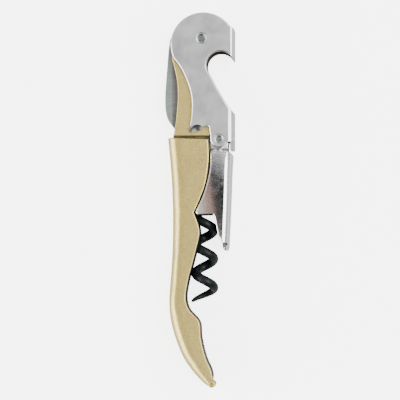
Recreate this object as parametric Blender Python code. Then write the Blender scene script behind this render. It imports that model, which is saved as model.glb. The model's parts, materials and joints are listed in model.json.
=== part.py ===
"""Double-hinged lever corkscrew, folded shut and lying on its side.

Lengths below are in millimetres and are scaled to metres when a mesh is made.
X runs from the back of the handle to the levers, Y from the tail to the head,
and Z is the thickness. Every hinge axis is parallel to Z. Outlines are drawn in
the XY plane, and heights are measured from the middle plane of the tool.
"""
import bpy
import bmesh
from math import cos, pi, radians, sin
from mathutils import Matrix, Vector

MM = 0.001

# Driving dimensions
HALF_WIDTH = 6.9        # middle plane to the outer faces of the levers
SHEET = 1.2             # lever sheet
WALL_INNER = HALF_WIDTH - SHEET
GAP = 0.3               # play between pieces that touch
GRIP_HALF = 6.1         # middle plane to the outer faces of the grip
GRIP_SHEET = 0.6        # grip shell, and the frame inside it
GRIP_GAP = 0.2
FRAME_OUTER = GRIP_HALF - GRIP_SHEET - GRIP_GAP
FRAME_INNER = FRAME_OUTER - GRIP_SHEET
EAR_OUTER = 5.4         # middle plane to the faces of the lower lever's ears
EAR_INNER = 4.3

HEAD_PIVOT = (0.87, 52.26)
KNEE_PIVOT = (6.52, 19.9)
WORM_PIVOT = (-1.0, 15.6)

HEAD_CENTRE = (1.53, 49.9)
HEAD_RADIUS = 10.1
OPENER_CENTRE = (6.88, 43.6)
OPENER_RADIUS = 4.45
LEVER_BACK_X = 11.3     # outer face of the upper lever's web
BEND_RADIUS = 1.3
BEND_STEPS = 3
BLOCK_START_X = -20.0
EAR_RADIUS = 2.9

HEAD_RIVET_RADIUS = 1.7
HEAD_SHANK_RADIUS = 1.35
KNEE_RIVET_RADIUS = 1.45
KNEE_SHANK_RADIUS = 1.15
RIVET_HEAD_DEPTH = 1.35
DIMPLE_RADIUS = 0.95
DIMPLE_DEPTH = 0.7

GRIP_BEND_RADIUS = 3.0
TAIL_CURL_RADIUS = 1.15
TAIL_CURL_HALF = 5.6
TAIL_CURL_CENTRE = (4.05, -58.8)

BLADE_HALF = 0.6
WASHER_SHEET = 0.5
BLADE_SPACER_RADIUS = 3.0
BLADE_WASHER_RADIUS = 3.6

WORM_PIN_RADIUS = 1.3
HUB_RADIUS = 3.2
HUB_HALF = 2.2
WORM_SPACER_RADIUS = 2.6

WORM_AXIS_X = 1.6
WORM_OUTER_RADIUS = 4.45
WIRE_RADIUS = 1.42
WORM_PITCH = 9.25
WORM_TURNS_START_Y = 4.6
WORM_TIP_Y = -32.3
WORM_TAPER_LENGTH = 5.6
SHANK_TOP_Y = 12.9
SHANK_EASE = 5.0
TIP_RADIUS = 0.3

MATERIALS = {
    "gold": ((0.53, 0.44, 0.24), 1.0, 0.32),
    "bare_steel": ((0.46, 0.45, 0.43), 1.0, 0.30),
    "chrome": ((0.66, 0.66, 0.65), 1.0, 0.12),
    "rivet_steel": ((0.60, 0.60, 0.58), 1.0, 0.22),
    "blade_steel": ((0.36, 0.40, 0.38), 1.0, 0.34),
    "black_coat": ((0.022, 0.026, 0.030), 0.0, 0.35),
    "zinc_steel": ((0.42, 0.43, 0.43), 1.0, 0.40),
}


def clear_scene():
    for obj in list(bpy.data.objects):
        bpy.data.objects.remove(obj, do_unlink=True)


def material(name):
    found = bpy.data.materials.get(name)
    if found:
        return found
    colour, metallic, roughness = MATERIALS[name]
    made = bpy.data.materials.new(name)
    made.use_nodes = True
    shader = made.node_tree.nodes["Principled BSDF"]
    shader.inputs["Base Color"].default_value = (*colour, 1.0)
    shader.inputs["Metallic"].default_value = metallic
    shader.inputs["Roughness"].default_value = roughness
    return made


# Outline helpers: each gives a list of (x, y) points

def arc(centre, radius, start, end, steps):
    """Points from the start to the end angle, in degrees; end < start runs clockwise."""
    points = []
    for i in range(steps + 1):
        angle = radians(start + (end - start) * i / steps)
        points.append((centre[0] + radius * cos(angle), centre[1] + radius * sin(angle)))
    return points


def smooth(points, steps):
    """A Catmull-Rom curve through the points, which keeps both end points."""
    ends = [points[0]] + list(points) + [points[-1]]
    curve = []
    for a, b, c, d in zip(ends, ends[1:], ends[2:], ends[3:]):
        for i in range(steps):
            t = i / steps
            curve.append(tuple(
                0.5 * (2 * q + (r - p) * t + (2 * p - 5 * q + 4 * r - s) * t ** 2
                       + (3 * q - p - 3 * r + s) * t ** 3)
                for p, q, r, s in zip(a, b, c, d)))
    curve.append(tuple(points[-1]))
    return curve


def inset(points, distance):
    """The open line moved to the left of its direction of travel."""
    moved = []
    last = len(points) - 1
    for i, (x, y) in enumerate(points):
        before = points[max(i - 1, 0)]
        after = points[min(i + 1, last)]
        run = Vector((after[0] - before[0], after[1] - before[1])).normalized()
        moved.append((x - run.y * distance, y + run.x * distance))
    return moved


# Mesh helpers

def finish(name, mesh_data, pivot, finish_name):
    """Turn a bmesh in millimetres into an object in metres with its origin on the pivot."""
    mid = HALF_WIDTH
    origin = Vector((pivot[0], pivot[1], mid)) * MM
    for vert in mesh_data.verts:
        vert.co = (vert.co + Vector((0, 0, mid))) * MM - origin
    bmesh.ops.recalc_face_normals(mesh_data, faces=mesh_data.faces)
    mesh = bpy.data.meshes.new(name)
    mesh_data.to_mesh(mesh)
    mesh_data.free()
    obj = bpy.data.objects.new(name, mesh)
    obj.location = origin
    if finish_name:
        mesh.materials.append(material(finish_name))
    bpy.context.scene.collection.objects.link(obj)
    mesh.shade_smooth()
    mesh.set_sharp_from_angle(angle=radians(30))
    return obj


def prism(outline, low, high):
    """A bmesh of the outline extruded from the low to the high height."""
    data = bmesh.new()
    verts = [data.verts.new((x, y, low)) for x, y in outline]
    face = data.faces.new(verts)
    grown = bmesh.ops.extrude_face_region(data, geom=[face])
    top = [item for item in grown["geom"] if isinstance(item, bmesh.types.BMVert)]
    bmesh.ops.translate(data, verts=top, vec=(0, 0, high - low))
    return data


def bent_block(line, half, bend):
    """A block behind an upright line of (x, y) points, with its two far edges rounded."""
    data = bmesh.new()
    rings = []
    for x, y in line:
        turn = arc((x - bend, half - bend), bend, 90, 0, BEND_STEPS)
        side = [(BLOCK_START_X, half)] + turn
        section = side + [(across, -z) for across, z in reversed(side)]
        rings.append([data.verts.new((across, y, z)) for across, z in section])
    count = len(rings[0])
    for low, high in zip(rings, rings[1:]):
        for i in range(count):
            j = (i + 1) % count
            data.faces.new((low[i], low[j], high[j], high[i]))
    data.faces.new(rings[0])
    data.faces.new(rings[-1])
    return data


def boolean(obj, other, operation="DIFFERENCE"):
    """Add an exact Boolean, and turn the second object into a hidden guide."""
    step = obj.modifiers.new(other.name, "BOOLEAN")
    step.operation = operation
    step.object = other
    step.solver = "EXACT"
    other.hide_render = True
    other.display_type = "WIRE"


def cutter(name, data):
    return finish(name, data, (0, 0), None)


def bore(obj, centre, radius, low=-20, high=20, steps=20):
    """A round hole through the object, parallel to Z."""
    tool = cutter(obj.name + "_bore", prism(arc(centre, radius, 0, 360, steps)[:-1], low, high))
    boolean(obj, tool)


def turned(name, centre, profile, steps, finish_name):
    """A solid of revolution about Z; the profile lists (radius, height) from low to high."""
    data = bmesh.new()
    rings = []
    for radius, height in profile:
        if radius == 0:
            rings.append([data.verts.new((centre[0], centre[1], height))])
        else:
            circle = arc(centre, radius, 0, 360, steps)[:-1]
            rings.append([data.verts.new((x, y, height)) for x, y in circle])
    for low, high in zip(rings, rings[1:]):
        for i in range(steps):
            j = (i + 1) % steps
            loop = [low[i % len(low)], low[j % len(low)], high[j % len(high)], high[i % len(high)]]
            data.faces.new(list(dict.fromkeys(loop)))
    return finish(name, data, centre, finish_name)


def ring(name, centre, outer, inner, low, high, finish_name):
    """A washer or a spacer tube."""
    steps = 24
    data = bmesh.new()
    loops = []
    for radius, height in ((outer, low), (outer, high), (inner, high), (inner, low)):
        circle = arc(centre, radius, 0, 360, steps)[:-1]
        loops.append([data.verts.new((x, y, height)) for x, y in circle])
    for k, lower in enumerate(loops):
        upper = loops[(k + 1) % len(loops)]
        for i in range(steps):
            j = (i + 1) % steps
            data.faces.new((lower[i], lower[j], upper[j], upper[i]))
    return finish(name, data, centre, finish_name)


def channel_section(back, front, half, sheet, bend, segments):
    """One C-shaped cross-section, from the near front edge round the back to the far one."""
    reach = Vector((front[0] - back[0], front[1] - back[1]))
    inward = reach.normalized()
    bend = min(bend, 0.45 * reach.length)

    def side(height, radius, depth):
        points = [(reach.length, height)]
        for i in range(segments + 1):
            angle = 0.5 * pi * i / segments
            points.append((depth + radius - radius * sin(angle), height - radius + radius * cos(angle)))
        return points

    outer = side(half, bend, 0.0)
    inner = side(half - sheet, max(bend - sheet, 0.1), sheet)
    loop = outer + [(run, -z) for run, z in reversed(outer)]
    loop += [(run, -z) for run, z in inner] + list(reversed(inner))
    return [(back[0] + inward.x * run, back[1] + inward.y * run, z) for run, z in loop]


def loft(sections):
    """A closed body through cross-sections that have the same number of points."""
    data = bmesh.new()
    rings = [[data.verts.new(point) for point in section] for section in sections]
    count = len(rings[0])
    for low, high in zip(rings, rings[1:]):
        for i in range(count):
            j = (i + 1) % count
            data.faces.new((low[i], low[j], high[j], high[i]))
    half = count // 2
    for cap in (rings[0], rings[-1]):
        for i in range(half - 1):
            data.faces.new((cap[i], cap[i + 1], cap[count - 2 - i], cap[count - 1 - i]))
    return data


# The handle: the back line runs from the head end to the tail, and the front edge beside it

GRIP_BACK = [(-10.11, 19.8), (-9.46, 13.7), (-8.86, 6.0), (-8.51, -4.0), (-8.56, -13.0), (-8.91, -20.7),
             (-9.46, -28.0), (-9.66, -33.0), (-9.21, -38.0), (-7.81, -43.6), (-5.31, -49.9),
             (-2.41, -54.3), (0.89, -57.9), (2.89, -59.4)]
GRIP_FRONT = [(2.85, 19.8), (3.1, 13.7), (1.85, 6.0), (-1.7, -3.7), (0.15, -9.7), (-0.95, -15.6),
              (-3.5, -25.4), (-4.3, -31.0), (-3.3, -34.8), (0.0, -38.8), (0.55, -44.0),
              (2.0, -50.0), (3.8, -54.2), (4.4, -57.2)]
GRIP_CORNER = 3         # the front edge has a sharp corner here


def grip_lines(steps):
    """Matching points down the back and the front of the grip."""
    back = smooth(GRIP_BACK, steps)
    front = smooth(GRIP_FRONT[:GRIP_CORNER + 1], steps)[:-1] + smooth(GRIP_FRONT[GRIP_CORNER:], steps)
    return back, front


def handle_cover():
    back, front = grip_lines(2)
    sections = [channel_section(b, f, GRIP_HALF, GRIP_SHEET, GRIP_BEND_RADIUS, 4)
                for b, f in zip(back, front)]
    cover = finish("handle_cover", loft(sections), (0, 0), "gold")
    curl = finish("tail_curl", prism(arc(TAIL_CURL_CENTRE, TAIL_CURL_RADIUS, 0, 360, 14)[:-1],
                                     -TAIL_CURL_HALF, TAIL_CURL_HALF), (0, 0), None)
    boolean(cover, curl, "UNION")
    return cover


NECK_EYE_RADIUS = 5.0
NECK_FOOT = [(-6.9, 20.1), (-6.9, 18.0), (2.9, 18.0)]
NECK_RIGHT = [(2.88, 19.8), (2.83, 36.0), (1.73, 41.5), (1.73, 46.5)]
NECK_HEAD_LEFT = [(-5.3, 54.8), (-7.1, 51.5), (-8.0, 48.5)]
NECK_LEFT = [(-8.6, 45.6), (-7.75, 42.2), (-7.0, 38.1), (-6.8, 33.0), (-7.15, 28.3), (-7.65, 24.2),
             (-8.35, 20.6)]
LINER_END = 24          # the last pair of grip points that the liner reaches


def frame():
    back, front = grip_lines(2)
    depth = GRIP_SHEET + GRIP_GAP
    back = inset(back, depth)[:LINER_END]
    front = front[:LINER_END]
    bend = GRIP_BEND_RADIUS - depth
    liner = [channel_section(b, f, FRAME_OUTER, GRIP_SHEET, bend, 3) for b, f in zip(back, front)]
    body = finish("frame", loft(liner), (0, 0), "gold")
    outline = NECK_FOOT + NECK_RIGHT + arc(HEAD_PIVOT, NECK_EYE_RADIUS, -30, 115, 9)
    outline += NECK_HEAD_LEFT + smooth(NECK_LEFT, 2)
    for side, low, high in (("near", FRAME_INNER, FRAME_OUTER), ("far", -FRAME_OUTER, -FRAME_INNER)):
        boolean(body, cutter("neck_" + side, prism(outline, low, high)), "UNION")
    bore(body, HEAD_PIVOT, HEAD_SHANK_RADIUS + GAP)
    bore(body, WORM_PIVOT, WORM_PIN_RADIUS + GAP)
    return body


# The levers

UPPER_LEFT = [(-8.47, 47.2), (-7.87, 45.6), (-6.67, 44.2), (-4.82, 41.1), (-3.22, 37.0), (-2.17, 33.2),
              (-1.97, 30.2), (-2.32, 27.2), (-2.92, 23.1)]
UPPER_FOOT = [(-3.02, 22.1), (-2.47, 21.9), (-0.87, 22.3), (1.33, 22.9), (1.53, 23.6), (2.33, 23.9),
              (3.23, 23.7), (3.53, 21.6), (3.73, 19.2)]
UPPER_HEEL = [(9.43, 18.6), (9.43, 16.3), (LEVER_BACK_X, 16.3), (LEVER_BACK_X, 28.2)]
UPPER_DIAGONAL = [(9.43, 30.2), (5.43, 37.0)]


def upper_lever():
    head = arc(HEAD_CENTRE, HEAD_RADIUS, 36, 183, 20)
    ear = arc(KNEE_PIVOT, EAR_RADIUS, 215, 325, 8)
    notch = arc(OPENER_CENTRE, OPENER_RADIUS, 222, 22, 16)
    crown = [(LEVER_BACK_X, 45.0), (LEVER_BACK_X, 54.9)]
    outline = (head + smooth(UPPER_LEFT, 2) + UPPER_FOOT + ear + UPPER_HEEL + UPPER_DIAGONAL
               + notch + crown)
    lever = finish("upper_lever", prism(outline, -20, 20), HEAD_PIVOT, "chrome")
    web = [(LEVER_BACK_X, 0), (LEVER_BACK_X, 80)]
    boolean(lever, cutter("upper_bends", bent_block(web, HALF_WIDTH, BEND_RADIUS)), "INTERSECT")
    inner_web = [(x - SHEET, y) for x, y in web]
    boolean(lever, cutter("upper_pocket", bent_block(inner_web, WALL_INNER, BEND_RADIUS - SHEET)))
    relief = [(9.4, 10.0), (20, 10.0), (20, 19.0), (9.4, 19.0)]
    boolean(lever, cutter("heel_relief_near", prism(relief, FRAME_OUTER, 20)))
    boolean(lever, cutter("heel_relief_far", prism(relief, -20, -FRAME_OUTER)))
    bore(lever, HEAD_PIVOT, HEAD_RIVET_RADIUS + GAP)
    bore(lever, KNEE_PIVOT, KNEE_RIVET_RADIUS + GAP)
    return lever


LOWER_LEFT = [(3.68, 15.0), (3.68, 12.3), (3.33, 9.1), (2.53, 5.6), (1.28, 1.6), (-0.67, -2.5)]
LOWER_FOOT = [(-1.07, -3.5), (-0.87, -4.2), (-0.27, -4.6), (4.23, -4.4)]
TONGUE_LEFT = [(4.53, -4.6), (4.93, -5.2), (5.68, -9.0), (6.13, -11.6), (6.98, -12.6)]
TONGUE_TIP = [(7.13, -15.3), (7.63, -15.9), (8.33, -15.9), (8.83, -15.4)]
TONGUE_POCKET_Y = -14.4
LOWER_RIGHT = [(9.25, -14.4), (9.8, -6.4), (10.25, 1.8), (10.5, 9.4), (10.75, 13.6), (8.9, 15.3)]
JOGGLE = [(24.0, EAR_OUTER), (16.7, EAR_OUTER), (15.3, HALF_WIDTH), (12.8, HALF_WIDTH),
          (12.8, WALL_INNER), (14.5, WALL_INNER), (15.9, EAR_INNER), (24.0, EAR_INNER)]


def lower_lever():
    outline = smooth(LOWER_LEFT, 2) + LOWER_FOOT + TONGUE_LEFT + TONGUE_TIP + LOWER_RIGHT
    lever = finish("lower_lever", prism(outline, -20, 20), KNEE_PIVOT, "chrome")
    web = [(TONGUE_TIP[-1][0], -20)] + LOWER_RIGHT[:-1] + [(LOWER_RIGHT[-2][0], 30)]
    boolean(lever, cutter("lower_bends", bent_block(web, HALF_WIDTH, BEND_RADIUS)), "INTERSECT")
    inner_web = [(x - SHEET, y) for x, y in web]
    inner_web[0] = (inner_web[1][0], TONGUE_POCKET_Y - 0.01)
    boolean(lever, cutter("lower_pocket", bent_block(inner_web, WALL_INNER, BEND_RADIUS - SHEET)))
    ear = [(9.2, 13.2), (9.3, 17.0)] + arc(KNEE_PIVOT, EAR_RADIUS, -10, 190, 14) + [(3.9, 13.2)]
    for name, sign in (("near", 1), ("far", -1)):
        strip = bmesh.new()
        verts = [strip.verts.new((2.0, y, sign * z)) for y, z in JOGGLE]
        grown = bmesh.ops.extrude_face_region(strip, geom=[strip.faces.new(verts)])
        moved = [item for item in grown["geom"] if isinstance(item, bmesh.types.BMVert)]
        bmesh.ops.translate(strip, verts=moved, vec=(9.0, 0, 0))
        plate = cutter("ear_" + name, strip)
        boolean(plate, cutter("ear_shape_" + name, prism(ear, -20, 20)), "INTERSECT")
        boolean(lever, plate, "UNION")
    bore(lever, KNEE_PIVOT, KNEE_SHANK_RADIUS + GAP + 0.05)
    return lever


# Pivots

def rivet(name, centre, head_radius, shank_radius, dimple):
    """A flush rivet with a dished end on each side."""
    top = HALF_WIDTH
    neck = HALF_WIDTH - RIVET_HEAD_DEPTH
    half = [(shank_radius, neck), (head_radius, neck), (head_radius, top - 0.15),
            (head_radius - 0.15, top), (dimple, top), (dimple - 0.3, top - DIMPLE_DEPTH),
            (0, top - DIMPLE_DEPTH)]
    profile = [(radius, -height) for radius, height in reversed(half)] + half
    return turned(name, centre, profile, 24, "rivet_steel")


def pivots():
    rivet("head_rivet", HEAD_PIVOT, HEAD_RIVET_RADIUS, HEAD_SHANK_RADIUS, DIMPLE_RADIUS)
    rivet("knee_rivet", KNEE_PIVOT, KNEE_RIVET_RADIUS, KNEE_SHANK_RADIUS, DIMPLE_RADIUS - 0.15)
    ring("knee_spacer", KNEE_PIVOT, 2.2, KNEE_SHANK_RADIUS + GAP,
         -FRAME_INNER + 0.7, FRAME_INNER - 0.7, "zinc_steel")
    pin = [(0, -FRAME_OUTER), (WORM_PIN_RADIUS - 0.2, -FRAME_OUTER), (WORM_PIN_RADIUS, 0.2 - FRAME_OUTER),
           (WORM_PIN_RADIUS, FRAME_OUTER - 0.2), (WORM_PIN_RADIUS - 0.2, FRAME_OUTER), (0, FRAME_OUTER)]
    turned("worm_pin", WORM_PIVOT, pin, 24, "zinc_steel")
    washer = BLADE_HALF + GAP
    spacer = washer + WASHER_SHEET + GAP
    stops = FRAME_INNER - GAP
    collar = HUB_HALF + GAP
    for side, sign in (("near", 1), ("far", -1)):
        stack = (("blade_washer_", HEAD_PIVOT, BLADE_WASHER_RADIUS, HEAD_SHANK_RADIUS, washer,
                  washer + WASHER_SHEET),
                 ("blade_spacer_", HEAD_PIVOT, BLADE_SPACER_RADIUS, HEAD_SHANK_RADIUS, spacer, stops),
                 ("worm_spacer_", WORM_PIVOT, WORM_SPACER_RADIUS, WORM_PIN_RADIUS, collar, stops))
        for name, centre, outer, shaft, low, high in stack:
            low, high = sorted((sign * low, sign * high))
            ring(name + side, centre, outer, shaft + GAP, low, high, "zinc_steel")


# Blade

BLADE_SPINE = [(-9.6, 52.5), (-10.1, 48.8), (-10.6, 42.6), (-11.1, 35.8), (-11.2, 31.5), (-10.9, 28.6),
               (-10.1, 26.1), (-8.1, 23.3)]
BLADE_EDGE = [(-6.4, 25.6), (-5.2, 29.5), (-4.6, 35.0), (-4.4, 41.0)]


def blade():
    tang = arc(HEAD_PIVOT, 4.6, -95, 120, 12)
    outline = smooth(BLADE_SPINE, 2) + BLADE_EDGE + [(-3.6, 46.0)] + tang + [(-6.6, 54.0)]
    plate = finish("blade", prism(outline, -BLADE_HALF, BLADE_HALF), HEAD_PIVOT, "blade_steel")
    bore(plate, HEAD_PIVOT, HEAD_SHANK_RADIUS + GAP)
    return plate


# Worm

def wire_state(y):
    """Centre and radius of the wire at a height on its way down from the hub."""
    start = WORM_TURNS_START_Y + 0.5 * SHANK_EASE
    down = start - y
    if down <= 0:
        turn = 0.0
    elif down < SHANK_EASE:
        turn = down ** 2 / (2 * SHANK_EASE)
    else:
        turn = down - 0.5 * SHANK_EASE
    angle = pi - 2 * pi * turn / WORM_PITCH
    left = min(1.0, (y - WORM_TIP_Y) / WORM_TAPER_LENGTH)
    thickness = TIP_RADIUS + (WIRE_RADIUS - TIP_RADIUS) * left ** 0.8
    radius = WORM_OUTER_RADIUS - thickness
    centre = Vector((WORM_AXIS_X + radius * cos(angle), y, radius * sin(angle)))
    return centre, thickness


def worm():
    steps, sides = 118, 10
    heights = [SHANK_TOP_Y, WORM_TURNS_START_Y + 0.5 * SHANK_EASE + 0.3]
    span = heights[-1] - WORM_TIP_Y
    heights += [heights[-1] - span * i / steps for i in range(1, steps + 1)]
    path = [wire_state(y) for y in heights]
    data = bmesh.new()
    rings = []
    for i, (centre, thickness) in enumerate(path):
        before = path[max(i - 1, 0)][0]
        after = path[min(i + 1, len(path) - 1)][0]
        along = (after - before).normalized()
        outward = Vector((centre.x - WORM_AXIS_X, 0, centre.z))
        outward = (outward - along * outward.dot(along)).normalized()
        across = along.cross(outward)
        circle = arc((0, 0), thickness, 0, 360, sides)[:-1]
        rings.append([data.verts.new(centre + outward * a + across * b) for a, b in circle])
    for low, high in zip(rings, rings[1:]):
        for i in range(sides):
            j = (i + 1) % sides
            data.faces.new((low[i], low[j], high[j], high[i]))
    data.faces.new(rings[0])
    data.faces.new(rings[-1])
    return finish("worm", data, WORM_PIVOT, "black_coat")


def worm_hub():
    """A round boss on the pin with a socket below it for the wire."""
    wire_x = WORM_AXIS_X - (WORM_OUTER_RADIUS - WIRE_RADIUS)
    lip, floor = 10.6, SHANK_TOP_Y + GAP
    reach = WIRE_RADIUS + GAP + 0.55
    outline = arc(WORM_PIVOT, HUB_RADIUS, -50, 180 + 50, 20)
    outline += [(wire_x - reach, lip), (wire_x + reach, lip)]
    hub = finish("worm_hub", prism(outline, -HUB_HALF, HUB_HALF), WORM_PIVOT, "zinc_steel")
    socket = bmesh.new()
    bmesh.ops.create_cone(socket, cap_ends=True, segments=16, radius1=WIRE_RADIUS + GAP,
                          radius2=WIRE_RADIUS + GAP, depth=floor)
    bmesh.ops.rotate(socket, verts=socket.verts, matrix=Matrix.Rotation(pi / 2, 3, "X"))
    bmesh.ops.translate(socket, verts=socket.verts, vec=(wire_x, 0.5 * floor, 0))
    boolean(hub, cutter("hub_socket", socket))
    bore(hub, WORM_PIVOT, WORM_PIN_RADIUS + GAP)
    return hub


clear_scene()
handle_cover()
frame()
upper_lever()
lower_lever()
pivots()
blade()
worm()
worm_hub()
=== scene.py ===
"""Looks of the folded double-hinged corkscrew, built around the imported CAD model.

Shapes are drawn in millimetres in the CAD model's own frame: X runs from the back of the
grip to the levers, Y from the tail to the head, and heights are measured from the tool's
middle plane. A finished piece is scaled to metres.
"""
import json
from math import cos, hypot, pi, radians, sin, sqrt

import bmesh
import bpy
from mathutils import Matrix, Vector


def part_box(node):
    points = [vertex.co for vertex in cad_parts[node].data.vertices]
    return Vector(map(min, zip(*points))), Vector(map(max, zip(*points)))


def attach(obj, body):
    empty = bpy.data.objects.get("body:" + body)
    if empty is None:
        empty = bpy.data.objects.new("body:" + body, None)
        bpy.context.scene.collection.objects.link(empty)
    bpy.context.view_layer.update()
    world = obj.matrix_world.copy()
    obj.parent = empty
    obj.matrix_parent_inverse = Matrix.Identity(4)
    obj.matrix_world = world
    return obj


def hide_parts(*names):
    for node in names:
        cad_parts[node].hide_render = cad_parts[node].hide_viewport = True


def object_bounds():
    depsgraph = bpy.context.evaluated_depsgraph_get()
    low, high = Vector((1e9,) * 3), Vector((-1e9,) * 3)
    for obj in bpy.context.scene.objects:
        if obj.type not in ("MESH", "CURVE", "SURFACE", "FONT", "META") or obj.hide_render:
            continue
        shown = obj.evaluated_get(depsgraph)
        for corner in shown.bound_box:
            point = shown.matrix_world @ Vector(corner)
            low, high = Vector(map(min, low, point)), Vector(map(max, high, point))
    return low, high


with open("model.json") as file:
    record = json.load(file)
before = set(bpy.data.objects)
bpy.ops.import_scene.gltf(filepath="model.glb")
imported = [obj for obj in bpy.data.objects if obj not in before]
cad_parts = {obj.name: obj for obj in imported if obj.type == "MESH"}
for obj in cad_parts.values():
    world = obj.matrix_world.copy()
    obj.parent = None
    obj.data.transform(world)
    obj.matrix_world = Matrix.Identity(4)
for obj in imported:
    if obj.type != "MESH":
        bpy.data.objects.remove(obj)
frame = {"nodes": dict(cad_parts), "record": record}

MM = 0.001
cad_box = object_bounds()


# What the CAD model settles

def pivot(joint):
    """The (x, y) of a joint's axis, in millimetres."""
    rows = {row["name"]: row for row in frame["record"]["behaviour"]["joints"]}
    x, y, _ = rows[joint]["pos_m"]
    return x / MM, y / MM


def box_mm(node):
    low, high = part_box(node)
    return Vector(low) / MM, Vector(high) / MM


def half_height(node):
    low, high = box_mm(node)
    return (high.z - low.z) / 2


def outer_radius(node):
    low, high = box_mm(node)
    return (high.x - low.x) / 2


MIDDLE_Z = (cad_box[0][2] + cad_box[1][2]) / 2 / MM
HEAD_PIVOT = pivot("upper_lever_hinge")
KNEE_PIVOT = pivot("lower_lever_hinge")
LEVER_HALF = half_height("upper_lever")
GRIP_HALF = half_height("handle_cover")
FRAME_HALF = half_height("frame")
BLADE_HALF = half_height("blade")
LEVER_BACK_X = box_mm("upper_lever")[1].x
HEAD_RIVET_RADIUS = outer_radius("head_rivet")
KNEE_RIVET_RADIUS = outer_radius("knee_rivet")
WORM_LOW, WORM_HIGH = box_mm("worm")
WORM_AXIS_X = (WORM_LOW.x + WORM_HIGH.x) / 2
WORM_OUTER_RADIUS = (WORM_HIGH.x - WORM_LOW.x) / 2

SHEET = 1.2             # lever sheet
GRIP_SHEET = 0.6        # grip shell, and the frame inside it
GRIP_GAP = 0.2          # between the grip shell and the frame
LEVER_INNER = LEVER_HALF - SHEET
BEND_STEPS = 12
BEYOND = 20.0           # how far a cutter reaches, past every outline and height


# Outlines: lists of (x, y) points

def arc(centre, radius, start, end, steps):
    """Points from the start to the end angle, in degrees; end < start runs clockwise."""
    points = []
    for i in range(steps + 1):
        angle = radians(start + (end - start) * i / steps)
        points.append((centre[0] + radius * cos(angle), centre[1] + radius * sin(angle)))
    return points


def circle(centre, radius, steps):
    return arc(centre, radius, 0, 360, steps)[:-1]


def smooth(points, steps):
    """A Catmull-Rom curve through the points, which keeps both end points."""
    ends = [points[0]] + list(points) + [points[-1]]
    curve = []
    for a, b, c, d in zip(ends, ends[1:], ends[2:], ends[3:]):
        for i in range(steps):
            t = i / steps
            curve.append(tuple(
                0.5 * (2 * q + (r - p) * t + (2 * p - 5 * q + 4 * r - s) * t ** 2
                       + (3 * q - p - 3 * r + s) * t ** 3)
                for p, q, r, s in zip(a, b, c, d)))
    curve.append(tuple(points[-1]))
    return curve


def inset(points, distance):
    """The open line moved to the left of its direction of travel."""
    moved = []
    last = len(points) - 1
    for i, (x, y) in enumerate(points):
        before = points[max(i - 1, 0)]
        after = points[min(i + 1, last)]
        run = Vector((after[0] - before[0], after[1] - before[1])).normalized()
        moved.append((x - run.y * distance, y + run.x * distance))
    return moved


def without_repeats(outline, nearest=0.03):
    """The outline without the points that crowd the one before."""
    kept = [outline[0]]
    for point in outline[1:]:
        if hypot(point[0] - kept[-1][0], point[1] - kept[-1][1]) > nearest:
            kept.append(point)
    return kept


def shrunk(outline, distance):
    """A closed outline moved inwards, with mitred corners."""
    following = outline[1:] + outline[:1]
    area = sum(a[0] * b[1] - b[0] * a[1] for a, b in zip(outline, following))
    side = distance if area > 0 else -distance
    moved = []
    for before, point, after in zip(outline[-1:] + outline[:-1], outline, following):
        come = Vector(point) - Vector(before)
        leave = Vector(after) - Vector(point)
        first = Vector((-come.y, come.x)).normalized()
        second = Vector((-leave.y, leave.x)).normalized()
        step = (first + second) / max(1 + first.dot(second), 0.5)
        moved.append((point[0] + step.x * side, point[1] + step.y * side))
    return moved


# Meshes in millimetres

def prism(outline, low, high):
    """An upright block over a closed outline."""
    data = bmesh.new()
    face = data.faces.new([data.verts.new((x, y, low)) for x, y in outline])
    grown = bmesh.ops.extrude_face_region(data, geom=[face])
    top = [item for item in grown["geom"] if isinstance(item, bmesh.types.BMVert)]
    bmesh.ops.translate(data, verts=top, vec=(0, 0, high - low))
    return data


def tube_of(rings):
    """Skin a list of equal rings of points and cap both ends."""
    data = bmesh.new()
    made = [[data.verts.new(point) for point in ring] for ring in rings]
    count = len(made[0])
    for low, high in zip(made, made[1:]):
        for i in range(count):
            j = (i + 1) % count
            data.faces.new((low[i], low[j], high[j], high[i]))
    data.faces.new(made[0])
    data.faces.new(made[-1])
    return data


def rounded_plate(outline, low, high, rim, steps=6):
    """A flat plate whose top and bottom edges are rounded."""
    outline = without_repeats(outline)
    turn = [(rim * (1 - cos(pi / 2 * i / steps)), rim * (1 - sin(pi / 2 * i / steps)))
            for i in range(steps + 1)]
    top = [(inwards, high - down) for inwards, down in turn]
    bottom = [(inwards, low + up) for inwards, up in reversed(turn)]
    return tube_of([[(x, y, z) for x, y in shrunk(outline, inwards)] for inwards, z in bottom + top])


def bent_block(line, half, inner=0.0):
    """A block behind an upright line of (x, y, bend radius), its two far edges rounded."""
    rings = []
    for x, y, bend in line:
        x, bend = x - inner, bend - inner
        side = [(-BEYOND, half)] + arc((x - bend, half - bend), bend, 90, 0, BEND_STEPS)
        rings.append([(across, y, z) for across, z in side]
                     + [(across, y, -z) for across, z in reversed(side)])
    return tube_of(rings)


def both_ends(half):
    """A (radius, height) profile mirrored to the other side of the middle plane."""
    return [(radius, -height) for radius, height in reversed(half)] + half


def lathe(centre, profile, steps=64):
    """A solid of revolution about Z; the profile lists (radius, height) from low to high."""
    rings = [[(x, y, height) for x, y in circle(centre, max(radius, 0.001), steps)]
             for radius, height in profile]
    return tube_of(rings)


def ball(centre, radii):
    """A sphere stretched to its three radii."""
    data = bmesh.new()
    bmesh.ops.create_uvsphere(data, u_segments=48, v_segments=24, radius=1)
    bmesh.ops.scale(data, vec=radii, verts=data.verts)
    bmesh.ops.translate(data, vec=centre, verts=data.verts)
    return data


def work_object(data):
    """A scene object for a mesh that is still being made."""
    bmesh.ops.recalc_face_normals(data, faces=data.faces)
    mesh = bpy.data.meshes.new("work")
    data.to_mesh(mesh)
    data.free()
    obj = bpy.data.objects.new("work", mesh)
    bpy.context.scene.collection.objects.link(obj)
    return obj


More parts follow.
